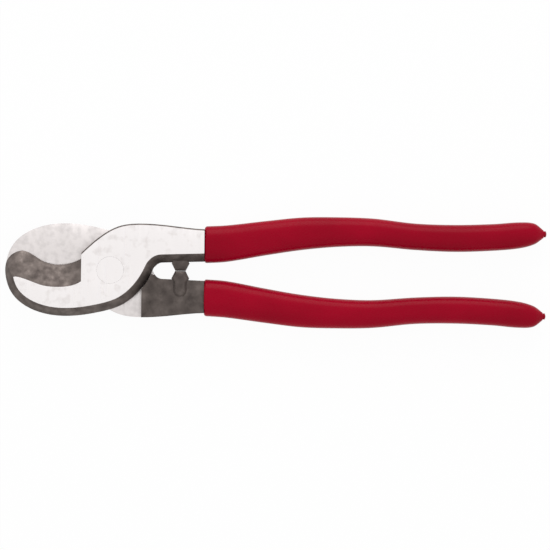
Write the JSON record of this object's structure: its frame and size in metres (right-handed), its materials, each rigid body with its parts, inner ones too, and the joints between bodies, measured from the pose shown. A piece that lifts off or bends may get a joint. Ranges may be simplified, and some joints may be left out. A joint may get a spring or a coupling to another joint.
{
  "type": "cable cutter",
  "caption": "Riveted lap-joint cable cutter with hooked shear jaws, a closing stop on each shank and long dipped grips; shown closed.",
  "frame": {"origin": "on the rivet's axis, in the plane of the rear lever's ground outer face, which is the face that the tool lies on", "axes": "+X from the rivet to the handles, +Y towards the front lever's handle, +Z along the rivet towards the front face"},
  "size_m": [0.2419, 0.0498, 0.013],
  "materials": {
    "lever_steel": "ground face, forged dark flanks",
    "rivet_steel": "ground flush",
    "grip_plastic": "smooth dipped vinyl, semi-gloss"
  },
  "bodies": {
    "rear_half": {"rear_lever": "lever_steel", "rear_grip": "grip_plastic", "pivot_rivet": "rivet_steel"},
    "front_half": {"front_lever": "lever_steel", "front_grip": "grip_plastic"}
  },
  "joints": [
    {"name": "joint_pivot", "type": "hinge", "parent": "rear_half", "child": "front_half", "pos_m": [0, 0, 0.0065], "axis": [0, 0, 1], "range_deg": [0, 32]}
  ]
}
